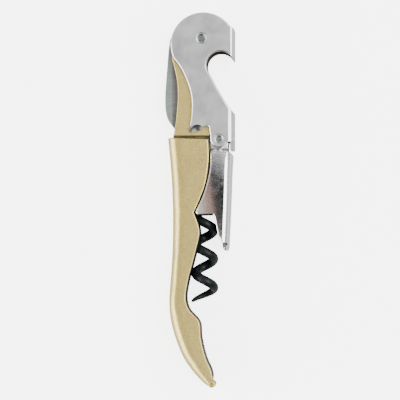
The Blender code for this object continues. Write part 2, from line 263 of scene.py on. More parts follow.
def evaluated_mesh(obj):
    graph = bpy.context.evaluated_depsgraph_get()
    return bpy.data.meshes.new_from_object(obj.evaluated_get(graph), depsgraph=graph)


def drop(obj):
    mesh = obj.data
    bpy.data.objects.remove(obj, do_unlink=True)
    bpy.data.meshes.remove(mesh)


def combine(base, tool, operation="DIFFERENCE"):
    """The exact Boolean of two meshes; both are used up."""
    shape, other = work_object(base), work_object(tool)
    step = shape.modifiers.new("cut", "BOOLEAN")
    step.operation = operation
    step.object = other
    step.solver = "EXACT"
    mesh = evaluated_mesh(shape)
    drop(shape)
    drop(other)
    result = bmesh.new()
    result.from_mesh(mesh)
    bpy.data.meshes.remove(mesh)
    return result


def bored(data, centre, radius, steps=48):
    """The mesh with a round hole right through it, along Z."""
    return combine(data, prism(circle(centre, radius, steps), -BEYOND, BEYOND))


def piece(name, data, finish, body, stands_for, sharp=32, extra=()):
    """A finished object in metres, riding on its body in place of a CAD node.

    Each extra is a finish and a test of a face's centre, in millimetres, and its normal. A
    face takes the first extra finish whose test holds for it.
    """
    work = work_object(data)
    work.data.shade_smooth()
    work.data.set_sharp_from_angle(angle=radians(sharp))
    flats = work.modifiers.new("flats", "WEIGHTED_NORMAL")
    flats.weight = 100
    flats.keep_sharp = True
    mesh = evaluated_mesh(work)
    drop(work)
    mesh.name = name
    mesh.materials.clear()
    for material in [finish] + [other for other, _ in extra]:
        mesh.materials.append(material)
    for face in mesh.polygons:
        fitting = [i for i, (_, test) in enumerate(extra, 1) if test(face.center, face.normal)]
        face.material_index = fitting[0] if fitting else 0
    mesh.transform(Matrix.Scale(MM, 4) @ Matrix.Translation((0, 0, MIDDLE_Z)))
    obj = bpy.data.objects.new(name, mesh)
    bpy.context.scene.collection.objects.link(obj)
    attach(obj, body)
    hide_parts(stands_for)
    return obj


# Tests for the extra finishes

FLAT = 0.9995           # Z part of a normal above which a face counts as level
INSIDE_DEPTH = 0.05     # how far past the sheet's inner face an inside face may lie
SIDEWAYS = 0.3          # part of a normal above which a face counts as turned along that axis
ENDWAYS = 0.5


def apart(spot, centre):
    """Distance seen from above."""
    return hypot(spot.x - centre[0], spot.y - centre[1])


def slope_between(normal, low, high):
    """Whether the Z part of a normal, up or down, lies between two values."""
    return low < abs(normal.z) < high


# Node helpers

def new_material(name, colour, metallic, roughness):
    made = bpy.data.materials.new(name)
    made.use_nodes = True
    shader = made.node_tree.nodes["Principled BSDF"]
    shader.inputs["Base Color"].default_value = (*colour, 1.0)
    shader.inputs["Metallic"].default_value = metallic
    shader.inputs["Roughness"].default_value = roughness
    return made, made.node_tree.nodes, made.node_tree.links, shader


def grain(nodes, links, scale, detail=2.0, roughness=0.5, stretch=(1, 1, 1), turn=0.0):
    """Noise in the object's own space: scale is in features per metre."""
    place = nodes.new("ShaderNodeTexCoord")
    fit = nodes.new("ShaderNodeMapping")
    fit.inputs["Scale"].default_value = stretch
    fit.inputs["Rotation"].default_value = (0, 0, turn)
    noise = nodes.new("ShaderNodeTexNoise")
    noise.inputs["Scale"].default_value = scale
    noise.inputs["Detail"].default_value = detail
    noise.inputs["Roughness"].default_value = roughness
    links.new(place.outputs["Object"], fit.inputs["Vector"])
    links.new(fit.outputs["Vector"], noise.inputs["Vector"])
    return noise.outputs["Fac"]


def ramp(nodes, links, source, stops):
    """Map a value through (position, colour) stops."""
    made = nodes.new("ShaderNodeValToRGB")
    line = made.color_ramp
    while len(line.elements) < len(stops):
        line.elements.new(0.5)
    for element, (position, colour) in zip(line.elements, stops):
        element.position = position
        element.color = (*colour, 1.0)
    links.new(source, made.inputs["Fac"])
    return made.outputs["Color"]


def levels(nodes, links, source, low, high, to_low, to_high):
    """Map a value from one range to another, in a straight line."""
    made = nodes.new("ShaderNodeMapRange")
    settings = (("From Min", low), ("From Max", high), ("To Min", to_low), ("To Max", to_high))
    for name, value in settings:
        made.inputs[name].default_value = value
    links.new(source, made.inputs["Value"])
    return made.outputs["Result"]


def mixed(nodes, links, kind, amount, first, second):
    """Blend two colour outputs; the amount is a socket or a number."""
    made = nodes.new("ShaderNodeMix")
    made.data_type = "RGBA"
    made.blend_type = kind
    connect(links, amount, made.inputs["Factor"])
    links.new(first, made.inputs["A"])
    links.new(second, made.inputs["B"])
    return made.outputs["Result"]


def connect(links, value, socket):
    """Give an input its value, which is another node's output or a number."""
    if isinstance(value, (int, float)):
        socket.default_value = value
    else:
        links.new(value, socket)


def calculate(nodes, links, operation, first, second):
    """A Math node; each input is a socket or a number."""
    node = nodes.new("ShaderNodeMath")
    node.operation = operation
    connect(links, first, node.inputs[0])
    connect(links, second, node.inputs[1])
    return node.outputs[0]


def split_place(nodes, links, space):
    """The X, Y and Z outputs of a place in the given texture space."""
    place = nodes.new("ShaderNodeTexCoord")
    split = nodes.new("ShaderNodeSeparateXYZ")
    links.new(place.outputs[space], split.inputs["Vector"])
    return split.outputs


def relief(nodes, links, shader, source, strength, distance, below=None):
    """Bump from a height, laid over the bump below it if there is one."""
    made = nodes.new("ShaderNodeBump")
    made.inputs["Strength"].default_value = strength
    made.inputs["Distance"].default_value = distance
    links.new(source, made.inputs["Height"])
    if below:
        links.new(below, made.inputs["Normal"])
    links.new(made.outputs["Normal"], shader.inputs["Normal"])
    return made.outputs["Normal"]


# Materials

def gold_lacquer():
    """Champagne metallic lacquer: fine flake, a soft orange peel and a thin clear coat."""
    made, nodes, links, shader = new_material("gold_lacquer", (0.59, 0.46, 0.145), 0.85, 0.36)
    flake = ramp(nodes, links, grain(nodes, links, 2600, 2.0, 0.6),
                 [(0.30, (0.50, 0.39, 0.115)), (0.52, (0.585, 0.465, 0.142)), (0.72, (0.70, 0.57, 0.21))])
    cloud = ramp(nodes, links, grain(nodes, links, 70, 3.0),
                 [(0.35, (0.94, 0.94, 0.92)), (0.65, (1.0, 1.0, 1.0))])
    links.new(mixed(nodes, links, "MULTIPLY", 1.0, flake, cloud), shader.inputs["Base Color"])
    links.new(levels(nodes, links, grain(nodes, links, 1800, 1.0), 0.3, 0.7, 0.32, 0.42),
              shader.inputs["Roughness"])
    relief(nodes, links, shader, grain(nodes, links, 1500, 2.0), 0.25, 0.00003)
    shader.inputs["Coat Weight"].default_value = 0.25
    shader.inputs["Coat Roughness"].default_value = 0.25
    return made


def satin_plate():
    """Satin nickel plate: faint clouding, fine scratches and pin marks."""
    made, nodes, links, shader = new_material("satin_plate", (0.66, 0.66, 0.67), 1.0, 0.30)
    cloud = ramp(nodes, links, grain(nodes, links, 130, 4.0, 0.6),
                 [(0.30, (0.655, 0.655, 0.66)), (0.50, (0.68, 0.68, 0.685)), (0.72, (0.71, 0.71, 0.715))])
    speck = ramp(nodes, links, grain(nodes, links, 1900, 2.0, 0.7),
                 [(0.28, (0.92, 0.92, 0.925)), (0.42, (1.0, 1.0, 1.0))])
    links.new(mixed(nodes, links, "MULTIPLY", 1.0, cloud, speck), shader.inputs["Base Color"])
    links.new(levels(nodes, links, grain(nodes, links, 260, 3.0), 0.3, 0.7, 0.29, 0.35),
              shader.inputs["Roughness"])
    scratches = grain(nodes, links, 900, 3.0, 0.6, (1, 0.08, 1), 0.7)
    fine = relief(nodes, links, shader, scratches, 0.12, 0.00002)
    relief(nodes, links, shader, grain(nodes, links, 350, 2.0), 0.04, 0.00004, fine)
    return made


CROWN_PLACE = (0.64, 0.40)      # the crown's top, as a share of the lower lever's box
CROWN_ACROSS = -11.0            # height per x squared, y squared and x times y, in 1/m
CROWN_ALONG = -3.0
CROWN_LEAN = -3.0


def crowned(nodes, links):
    """Height of a face that is faintly crowned across and along the lower lever, in metres."""
    low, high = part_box("lower_lever")
    at = split_place(nodes, links, "Object")
    top = [low[i] + CROWN_PLACE[i] * (high[i] - low[i]) for i in (0, 1)]
    x = calculate(nodes, links, "SUBTRACT", at["X"], top[0])
    y = calculate(nodes, links, "SUBTRACT", at["Y"], top[1])
    lean = calculate(nodes, links, "MULTIPLY", y, CROWN_LEAN)
    across = calculate(nodes, links, "ADD", calculate(nodes, links, "MULTIPLY", x, CROWN_ACROSS), lean)
    y_squared = calculate(nodes, links, "MULTIPLY", y, y)
    along = calculate(nodes, links, "MULTIPLY", y_squared, CROWN_ALONG)
    return calculate(nodes, links, "ADD", calculate(nodes, links, "MULTIPLY", x, across), along)


def mirror_plate():
    """Polished nickel plate over steel that is not quite flat, with a dusting of specks."""
    made, nodes, links, shader = new_material("mirror_plate", (0.78, 0.78, 0.78), 1.0, 0.09)
    speck = ramp(nodes, links, grain(nodes, links, 2400, 3.0, 0.75),
                 [(0.35, (0.48, 0.48, 0.48)), (0.47, (0.78, 0.78, 0.78)), (0.70, (0.86, 0.86, 0.86))])
    links.new(speck, shader.inputs["Base Color"])
    links.new(levels(nodes, links, grain(nodes, links, 420, 4.0, 0.7), 0.35, 0.7, 0.05, 0.17),
              shader.inputs["Roughness"])
    crown = relief(nodes, links, shader, crowned(nodes, links), 1.0, 1.0)
    ripple = relief(nodes, links, shader, grain(nodes, links, 160, 1.0), 0.3, 0.00010, crown)
    relief(nodes, links, shader, grain(nodes, links, 1700, 3.0, 0.7), 0.45, 0.00003, ripple)
    return made


def ground_steel(name, shade, roughness):
    """Blade steel, ground across the edge, slightly green, with scuffs from opening."""
    made, nodes, links, shader = new_material(name, (0.42, 0.47, 0.45), 1.0, roughness)
    lines = grain(nodes, links, 1500, 3.0, 0.6, (0.12, 1, 1), 0.25)
    tones = [(0.28, (0.36, 0.42, 0.40)), (0.55, (0.405, 0.47, 0.45)), (0.76, (0.47, 0.54, 0.52))]
    shaded = [(at, [a * b for a, b in zip(shade, colour)]) for at, colour in tones]
    scuff = ramp(nodes, links, grain(nodes, links, 240, 4.0, 0.7, (1, 0.35, 1), 1.0),
                 [(0.38, (0.90, 0.92, 0.92)), (0.60, (1.0, 1.0, 1.0))])
    links.new(mixed(nodes, links, "MULTIPLY", 1.0, ramp(nodes, links, lines, shaded), scuff),
              shader.inputs["Base Color"])
    relief(nodes, links, shader, lines, 0.15, 0.00002)
    return made


def black_coat():
    """Non-stick black coat with a soft sheen and worn, slightly rough patches."""
    made, nodes, links, shader = new_material("black_coat", (0.008, 0.010, 0.011), 0.0, 0.36)
    tone = ramp(nodes, links, grain(nodes, links, 500, 4.0, 0.6),
                [(0.35, (0.005, 0.0065, 0.0075)), (0.68, (0.011, 0.014, 0.016))])
    links.new(tone, shader.inputs["Base Color"])
    links.new(levels(nodes, links, grain(nodes, links, 320, 3.0), 0.3, 0.7, 0.28, 0.42),
              shader.inputs["Roughness"])
    relief(nodes, links, shader, grain(nodes, links, 2000, 3.0, 0.6), 0.2, 0.00004)
    shader.inputs["Specular IOR Level"].default_value = 0.15
    return made


def mottled(name, colour, metallic, roughness, patches, stops, pits):
    """A finish whose tone drifts in patches, over fine pits.

    The patches are grain() settings, the stops map them to tones, and the pits are a
    scale, a detail, a strength and a depth in metres.
    """
    made, nodes, links, shader = new_material(name, colour, metallic, roughness)
    links.new(ramp(nodes, links, grain(nodes, links, *patches), stops), shader.inputs["Base Color"])
    scale, detail, strength, depth = pits
    relief(nodes, links, shader, grain(nodes, links, scale, detail), strength, depth)
    return made


GOLD = gold_lacquer()
SATIN = satin_plate()
MIRROR = mirror_plate()
GROUND = ground_steel("ground_steel", (1.0, 1.0, 1.0), 0.34)
# Painted shade: a slightly darker, pinkish copy of the blade steel on the flats that the neck shades
FACET_SHADE = ground_steel("facet_steel_painted_shade", (1.0, 0.88, 0.94), 0.28)
# Painted shade: a darker copy of the blade steel for the rivets' dished middles
DISH_SHADE = ground_steel("dish_steel_painted_shade", (0.62, 0.62, 0.62), 0.30)
BLACK = black_coat()
# Bright turned steel
TURNED = mottled("turned_steel", (0.62, 0.63, 0.62), 1.0, 0.24, (900, 3.0),
                 [(0.32, (0.50, 0.51, 0.50)), (0.62, (0.68, 0.69, 0.68))], (2200, 2.0, 0.15, 0.00003))
# Unpainted sheet inside the grip: streaked and fairly glossy, and dark with painted shade from the grip
# round it
BARE_SHADED = mottled("bare_steel", (0.10, 0.09, 0.09), 1.0, 0.22, (120, 4.0, 0.65, (1, 0.5, 1)),
               [(0.36, (0.016, 0.015, 0.015)), (0.50, (0.045, 0.038, 0.039)), (0.68, (0.11, 0.098, 0.105))],
               (700, 3.0, 0.2, 0.00004))
# Zinc-plated pins, spacers and washers
ZINC = mottled("zinc_steel", (0.45, 0.46, 0.46), 1.0, 0.38, (600, 4.0, 0.6),
               [(0.34, (0.36, 0.37, 0.37)), (0.64, (0.50, 0.51, 0.51))], (1200, 3.0, 0.2, 0.00004))
# Inner faces of the levers: plated but never polished, so dull and slightly warm; their dark tone is
# painted shade from the channel's walls
CHANNEL_SHADE = mottled("channel_inside_painted_shade", (0.13, 0.085, 0.07), 1.0, 0.30, (260, 4.0, 0.6),
                 [(0.34, (0.10, 0.083, 0.076)), (0.52, (0.15, 0.120, 0.108)), (0.70, (0.21, 0.175, 0.160))],
                 (900, 3.0, 0.2, 0.00004))
# Painted shade: plate darkened in the foot's scoops, under the opener's lip, along the ear's lower rim and
# in the tongue's dimple
SHADE_PLATE = mottled("plate_painted_shade", (0.13, 0.13, 0.13), 1.0, 0.40, (700, 3.0, 0.6),
                  [(0.36, (0.07, 0.07, 0.07)), (0.64, (0.19, 0.185, 0.185))], (500, 2.0, 0.15, 0.00003))
# Painted shade: lacquer down in the seam, darkened where the grip's top edge shades the neck
SEAM_SHADE_LACQUER = mottled("seam_lacquer_painted_shade", (0.2, 0.16, 0.06), 0.6, 0.5, (300, 4.0, 0.6),
               [(0.34, (0.045, 0.036, 0.012)), (0.66, (0.12, 0.096, 0.034))], (1500, 2.0, 0.25, 0.00003))


# Camera: metres from the middle of the CAD model's box

CAMERA_OFFSET = Vector((0.042, -0.029, 0.90))
CAMERA_AIM = Vector((0.00002, 0.00039, 0.0))
FIELD = 0.1292          # width of the view at the object
SENSOR = 36.0


def make_camera():
    """Look down on the tool from a little to the right, with its length upright in the view."""
    low, high = cad_box
    target = (Vector(low) + Vector(high)) / 2 + CAMERA_AIM
    back = CAMERA_OFFSET.normalized()
    side = Vector((0, 1, 0)).cross(back).normalized()
    data = bpy.data.cameras.new("camera")
    data.sensor_width = SENSOR
    data.lens = SENSOR * CAMERA_OFFSET.length / FIELD
    camera = bpy.data.objects.new("camera", data)
    camera.matrix_world = Matrix.Translation(target + CAMERA_OFFSET) @ Matrix(
        (side, back.cross(side), back)).transposed().to_4x4()
    bpy.context.scene.collection.objects.link(camera)
    bpy.context.scene.camera = camera


# Grip: the back line runs from the head end to the tail, and the front edge beside it

GRIP_BACK = [(-10.11, 20.2), (-9.46, 13.7), (-8.86, 6.0), (-8.66, 0.8), (-8.51, -4.0), (-8.56, -13.0),
             (-8.91, -20.7), (-9.46, -28.0), (-9.66, -33.0), (-9.21, -38.0), (-7.81, -43.6), (-5.31, -49.9),
             (-2.41, -54.3), (0.89, -57.9), (2.89, -59.4)]
GRIP_FRONT = [(2.85, 19.8), (3.15, 13.7), (2.12, 6.0), (0.3, 0.6), (-1.7, -3.7), (0.15, -9.7),
              (-0.95, -15.6), (-3.5, -25.4), (-4.3, -31.0), (-3.3, -34.8), (0.0, -38.8), (0.55, -44.0),
              (2.0, -50.0), (3.8, -54.2), (4.4, -57.2)]
GRIP_CORNER = 4         # the front edge has a sharp corner at this point
GRIP_BEND_RADIUS = 3.0
GRIP_STEPS = 8
GRIP_END_ROUNDING = 0.3
GRIP_END_LENGTH = 0.35  # the rounded end has its own close sections
GRIP_END_STEPS = 6
SINK_START = 0.35       # the sheet sinks slightly beside its bend
SINK_LENGTH = 1.3
SINK_DEPTH = 0.06
RIM_LENGTH = 0.45       # how far the front edge's rounding runs back
RIM_STEPS = 10
# By the levers the liner's dark edge stands out to fill the shadow line there: a dark sheet put in as
# painted shade
LINER_STEP = 0.5        # how far the liner's front edges stand out of the grip's, by the levers
LINER_STEP_BELOW = 0.2
LINER_STEP_END_Y = -3.7
LINER_END_PAIR = 13.8   # the liner ends this many grip points from the head end
TAIL_CURL_CENTRE = (4.05, -58.8)
TAIL_CURL_RADIUS = 1.15
TAIL_CURL_HALF = GRIP_HALF - 0.5
TAIL_CURL_RIM = 0.45
TAIL_EYE_RADIUS = 0.34  # the hollow that the sheet is rolled round
TAIL_EYE_DEPTH = 0.8
TAIL_SLOT_LENGTH = 2.0  # the gap between the roll's end and the sheet, which opens into the eye
TAIL_SLOT_WIDTH = 0.1


def grip_lines():
    """The grip's back line and front edge, with as many points in one as in the other."""
    back = smooth(GRIP_BACK, GRIP_STEPS)
    above = smooth(GRIP_FRONT[:GRIP_CORNER + 1], GRIP_STEPS)
    below = smooth(GRIP_FRONT[GRIP_CORNER:], GRIP_STEPS)
    return back, above[:-1] + below


def channel_ring(back, front, half, sheet, bend):
    """One C-shaped cross-section with a rounded front edge, as a closed ring of points."""
    reach = Vector((front[0] - back[0], front[1] - back[1]))
    inward = reach.normalized()
    bend = min(bend, 0.45 * reach.length)
    run_end = reach.length - RIM_LENGTH
    nose = [(run_end + RIM_LENGTH * cos(angle), half - sheet / 2 + sheet / 2 * sin(angle))
            for angle in (pi / 2 - pi * i / RIM_STEPS for i in range(RIM_STEPS + 1))]
    scale = bend / GRIP_BEND_RADIUS
    sunk = [(bend + scale * SINK_START, half - scale * SINK_DEPTH),
            (bend + scale * (SINK_START + SINK_LENGTH), half)]
    inner_bend = max(bend - sheet, 0.1)
    outer = arc((bend, half - bend), bend, 90, 180, BEND_STEPS)
    inner = arc((sheet + inner_bend, half - sheet - inner_bend), inner_bend, 90, 180, BEND_STEPS)
    near = inner[::-1] + nose[::-1] + sunk[::-1] + outer
    loop = near + [(run, -z) for run, z in reversed(near)]
    return [(back[0] + inward.x * run, back[1] + inward.y * run, z) for run, z in loop]


def channel(back, front, half, sheet, bend, end_rounding):
    """A bent sheet channel, its head end slightly rounded by shrinking the first sections."""
    rings = []
    start = Vector(back[0])
    for b, f in zip(back, front):
        gone = (Vector(b) - start).length
        ease = max(0.0, 1 - gone / end_rounding) if end_rounding else 0.0
        shrink = end_rounding * (1 - sqrt(1 - ease ** 2))
        rings.append(channel_ring(b, f, half - shrink, sheet - shrink, bend))
    return tube_of(rings)


def with_close_start(line):
    """The line with extra points near its start, so that this end can be rounded."""
    a, b = Vector(line[0]), Vector(line[1])
    step = (b - a).normalized() * GRIP_END_LENGTH
    return [tuple(a + step * (i / GRIP_END_STEPS) ** 2) for i in range(GRIP_END_STEPS)] + line[1:]


def make_grip_shell():
    back, front = grip_lines()
    shell = channel(with_close_start(back), with_close_start(front), GRIP_HALF, GRIP_SHEET,
                    GRIP_BEND_RADIUS, GRIP_END_ROUNDING)
    piece("grip_shell", shell, GOLD, "handle", "handle_cover")


def make_tail_roll():
    """The curled end of the grip's sheet, with the roll's eye and slot showing at both ends."""
    x, y = TAIL_CURL_CENTRE
    edge = arc((TAIL_CURL_RADIUS - TAIL_CURL_RIM, TAIL_CURL_HALF - TAIL_CURL_RIM), TAIL_CURL_RIM, 0, 90, 6)
    roll = lathe(TAIL_CURL_CENTRE, both_ends(edge), 40)
    slot_end_x = x - TAIL_SLOT_LENGTH
    eye = arc(TAIL_CURL_CENTRE, TAIL_EYE_RADIUS, 172, -168, 30)
    eye += [(slot_end_x, y - TAIL_SLOT_WIDTH), (slot_end_x, y)]
    floor = TAIL_CURL_HALF - TAIL_EYE_DEPTH
    for low, high in ((floor, BEYOND), (-BEYOND, -floor)):
        roll = combine(roll, prism(eye, low, high))
    piece("grip_tail_roll", roll, GOLD, "handle", "handle_cover", sharp=60)


def make_liner():
    """The frame's lower half: a bare channel inside the grip."""
    back, front = grip_lines()
    depth = GRIP_SHEET + GRIP_GAP
    last = int(LINER_END_PAIR * GRIP_STEPS)
    back = inset(back, depth)[:last]
    wide = inset(front, LINER_STEP)
    slim = inset(front, LINER_STEP_BELOW)
    front = [w if w[1] > LINER_STEP_END_Y else s for w, s in zip(wide, slim)][:last]
    liner = channel(back, front, FRAME_HALF, GRIP_SHEET, GRIP_BEND_RADIUS - depth, 0)
    piece("channel_liner", liner, BARE_SHADED, "handle", "frame")


# Neck

NECK_EYE_RADIUS = 5.0
NECK_HOLE_RADIUS = 1.7
NECK_FOOT = [(-8.4, 19.9), (-7.9, 18.0), (2.8, 18.0)]
NECK_RIGHT = [(2.9, 19.6), (3.5, 20.2), (3.5, 23.0), (2.83, 26.0), (2.83, 36.0), (1.73, 41.5), (1.73, 46.5)]
NECK_HEAD_LEFT = [(-5.3, 54.8), (-7.1, 51.5), (-8.0, 48.5)]
NECK_LEFT = [(-8.75, 46.0), (-7.75, 42.2), (-7.0, 38.1), (-6.8, 33.0), (-7.15, 28.3), (-7.65, 24.2),
             (-8.35, 20.6)]
NECK_RIM = 0.28
GROOVE_Y = 20.3         # the neck dips here, where the grip closes over it
GROOVE_RADIUS = 0.9
GROOVE_AXIS_RISE = 0.45     # the rod that cuts the dip runs this far above the plate
# The seam's finish below is painted shade from the grip's edge
SEAM_BELOW = 0.85       # how far the seam's finish reaches from the groove's middle
SEAM_ABOVE = 0.62
SEAM_ACROSS = 0.1       # the seam's faces run along X, so this part of their normals is small


def groove(y, height, radius):
    """A rod along X, to cut a shallow dip across a plate."""
    return tube_of([[(x, y + dy, height + dz) for dy, dz in circle((0, 0), radius, 48)]
                    for x in (-BEYOND, BEYOND)])


def in_shaded_seam(centre, normal):
    """The sides of the dip that the grip closes over, which take painted shade."""
    sloping = abs(normal.z) < FLAT and abs(normal.x) < SEAM_ACROSS
    return sloping and -SEAM_BELOW < centre.y - GROOVE_Y < SEAM_ABOVE


def make_neck():
    """The two ears of the frame, between the grip and the head."""
    outline = NECK_FOOT + NECK_RIGHT + arc(HEAD_PIVOT, NECK_EYE_RADIUS, -30, 115, 40)
    outline += NECK_HEAD_LEFT + smooth(NECK_LEFT, 8)
    for side, sign, low in (("near", 1, FRAME_HALF - GRIP_SHEET), ("far", -1, -FRAME_HALF)):
        plate = rounded_plate(outline, low, low + GRIP_SHEET, NECK_RIM)
        plate = bored(plate, HEAD_PIVOT, NECK_HOLE_RADIUS)
        plate = combine(plate, groove(GROOVE_Y, sign * (FRAME_HALF + GROOVE_AXIS_RISE), GROOVE_RADIUS))
        # The seam takes painted shade where the grip closes over the neck
        piece("neck_plate_" + side, plate, GOLD, "handle", "frame", extra=[(SEAM_SHADE_LACQUER, in_shaded_seam)])


# Levers

OPENER_CENTRE = (6.88, 43.6)
OPENER_RADIUS = 4.45
EAR_RADIUS = 2.9        # both levers' ends round the knee rivet
LEVER_RIM = 0.48        # rounding of the levers' edges
COPLANAR_CLEARANCE = 0.002      # keeps a cutter's faces off the faces that it must not cut
RIVET_PLAY = 0.2        # between a rivet's head and its hole, on the radius


def is_shaded_inside(centre, normal):
    """The faces inside a lever's channel and in its opener, which take painted shade."""
    deep = abs(centre.z) < LEVER_INNER + INSIDE_DEPTH and normal.x < SIDEWAYS
    turned_out = abs(normal.z) > SIDEWAYS and normal.z * centre.z > 0
    cut_end = abs(normal.y) > ENDWAYS and abs(centre.y - OPENER_CENTRE[1]) > OPENER_RADIUS
    return deep and not turned_out and not cut_end


# Upper lever: its outline runs anticlockwise from the head's right

HEAD_CENTRE = (1.38, 50.02)
HEAD_RADIUS = 10.55
UPPER_LEFT = [(-9.05, 49.3), (-8.69, 47.2), (-8.0, 45.6), (-6.82, 44.2), (-4.97, 41.1), (-3.3, 37.0),
              (-2.42, 33.2), (-2.24, 30.2), (-2.45, 27.2), (-3.0, 23.1)]
UPPER_FOOT = [(-3.02, 22.1), (-2.47, 21.9), (-0.87, 22.3), (1.33, 22.9), (1.53, 23.6), (2.33, 23.9),
              (3.23, 23.7), (3.53, 21.6), (3.73, 19.2)]
UPPER_HEEL = [(9.43, 18.6), (9.43, 16.3), (14.0, 16.3), (14.0, 25.3)]
UPPER_DIAGONAL = [(9.43, 30.2), (5.43, 37.0)]
UPPER_CROWN = [(14.0, 45.3), (14.0, 53.3)]
HEAD_BEND = 1.25        # outer radius of the lever's bends at its head end
HEEL_BEND = 2.0         # and at its heel
UPPER_WEB = [(LEVER_BACK_X, 0.0, HEEL_BEND), (LEVER_BACK_X, 34.0, HEEL_BEND),
             (LEVER_BACK_X, 42.0, HEAD_BEND), (LEVER_BACK_X, 80.0, HEAD_BEND)]
# At the heel the bends are cut away here, and only the flat of the web runs on
HEEL_RELIEF = [(9.4, 10.0), (BEYOND, 10.0), (BEYOND, 19.0), (9.4, 19.0)]
FOOT_SCOOP_CENTRE = (-0.45, 21.9)
FOOT_SCOOP_RISE = 1.2   # the scoop's ball has its middle this far above the plate
FOOT_SCOOP_RADII = (3.0, 3.2, 2.0)
# Faces that take painted shade, by the Z part of their normals and by place
SCOOP_SLOPES = (0.3, FLAT)
LIP_SLOPES = (0.8, 0.99)
LIP_WIDTH = 0.6
EAR_SLOPES = (0.40, 0.985)
EAR_SHADE_TOP_Y = KNEE_PIVOT[1] - 1.9
EAR_SHADE_END_X = 9.0


def takes_painted_shade(centre, normal):
    """The foot's scoops, the opener's upper lip and the lower rim round the knee rivet, which take painted
    shade.
    """
    by_scoop = apart(centre, FOOT_SCOOP_CENTRE) < FOOT_SCOOP_RADII[0]
    in_scoop = by_scoop and slope_between(normal, *SCOOP_SLOPES)
    by_lip = apart(centre, OPENER_CENTRE) < OPENER_RADIUS + LIP_WIDTH and centre.y > OPENER_CENTRE[1]
    on_lip = by_lip and slope_between(normal, *LIP_SLOPES)
    by_ear = centre.y < EAR_SHADE_TOP_Y and centre.x < EAR_SHADE_END_X
    on_ear = by_ear and slope_between(normal, *EAR_SLOPES)
    return abs(centre.z) > LEVER_INNER and (in_scoop or on_lip or on_ear)


def make_upper_lever():
    head = arc(HEAD_CENTRE, HEAD_RADIUS, 36, 176, 60)
    left = smooth([head[-1]] + UPPER_LEFT, 6)[1:]
    ear = arc(KNEE_PIVOT, EAR_RADIUS, 215, 325, 24)
    notch = arc(OPENER_CENTRE, OPENER_RADIUS, 222, 26, 56)
    outline = head + left + UPPER_FOOT + ear + UPPER_HEEL + UPPER_DIAGONAL + notch + UPPER_CROWN
    lever = rounded_plate(outline, -LEVER_HALF, LEVER_HALF, LEVER_RIM)
    lever = combine(lever, bent_block(UPPER_WEB, LEVER_HALF + COPLANAR_CLEARANCE), "INTERSECT")
    lever = combine(lever, bent_block(UPPER_WEB, LEVER_INNER, SHEET))
    lever = combine(lever, prism(HEEL_RELIEF, FRAME_HALF, BEYOND))
    lever = combine(lever, prism(HEEL_RELIEF, -BEYOND, -FRAME_HALF))
    lever = bored(lever, HEAD_PIVOT, HEAD_RIVET_RADIUS + RIVET_PLAY)
    lever = bored(lever, KNEE_PIVOT, KNEE_RIVET_RADIUS + RIVET_PLAY)
    for sign in (1, -1):
        height = sign * (LEVER_HALF + FOOT_SCOOP_RISE)
        lever = combine(lever, ball((*FOOT_SCOOP_CENTRE, height), FOOT_SCOOP_RADII))
    # Painted shade inside the channel, in the foot's scoops, under the opener's lip and along the ear's rim
    piece("first_lever_plate", lever, SATIN, "first_lever", "upper_lever",
          extra=[(CHANNEL_SHADE, is_shaded_inside), (SHADE_PLATE, takes_painted_shade)])


# Lower lever

LOWER_BEND = 2.3
LOWER_LEFT = [(3.68, 15.5), (3.68, 12.3), (3.33, 9.1), (2.53, 5.6), (1.28, 1.6), (-0.67, -2.5)]
LOWER_FOOT = [(-1.07, -3.5), (-0.87, -4.2), (-0.27, -4.6), (4.23, -4.4)]
TONGUE_LEFT = [(4.53, -4.6), (4.93, -5.2), (5.68, -9.0), (6.13, -11.6), (7.45, -13.1)]
TONGUE_TIP = [(7.75, -15.2), (8.1, -15.85), (8.8, -15.95), (9.3, -15.5)]
TONGUE_POCKET_Y = -14.4     # the channel stops just below here, and the tip is solid
TONGUE_POCKET_EASE = 0.01
TONGUE_DIMPLE = (8.25, -14.2)
TONGUE_DIMPLE_RADII = (0.55, 0.95, 0.5)
DIMPLE_INSET = 0.01         # faces this near the dimple's edge belong to the flat round it
LOWER_CORNERS = [(14.0, -3.1), (14.0, 11.0), (10.0, 15.7)]
WEB_LINE = [(9.5, -14.4), (9.9, -6.4), (10.25, 1.8), (10.5, 9.4), (10.75, 13.6)]
WEB_START = (9.2, -20.0)
WEB_END = (10.75, 30.0)
LOWER_HOLE_RADIUS = 1.5
EAR_HALF = 5.4          # middle plane to the outer faces of the lower lever's ears
EAR_INNER = 4.3
JOGGLE_OUTER = LEVER_HALF - 0.7     # the ears join the lever below its rounded top edge
JOGGLE_INNER = LEVER_INNER + 0.05
JOGGLE = [(24.0, EAR_HALF), (16.8, EAR_HALF), (15.9, JOGGLE_OUTER), (13.2, JOGGLE_OUTER),
          (13.2, JOGGLE_INNER), (14.8, JOGGLE_INNER), (16.1, EAR_INNER), (24.0, EAR_INNER)]
EAR_LEFT = [(9.2, 13.2), (9.3, 17.0)]
EAR_RIGHT = [(3.9, 13.2)]
EAR_BLOCK_ENDS = (2.0, 11.0)


def in_dimple(centre, normal):
    """The hollow of the tongue's dimple on either side, which takes painted shade."""
    away = apart(centre, TONGUE_DIMPLE)
    deep = LEVER_INNER < abs(centre.z) < LEVER_HALF - DIMPLE_INSET
    return deep and away < TONGUE_DIMPLE_RADII[1] - DIMPLE_INSET


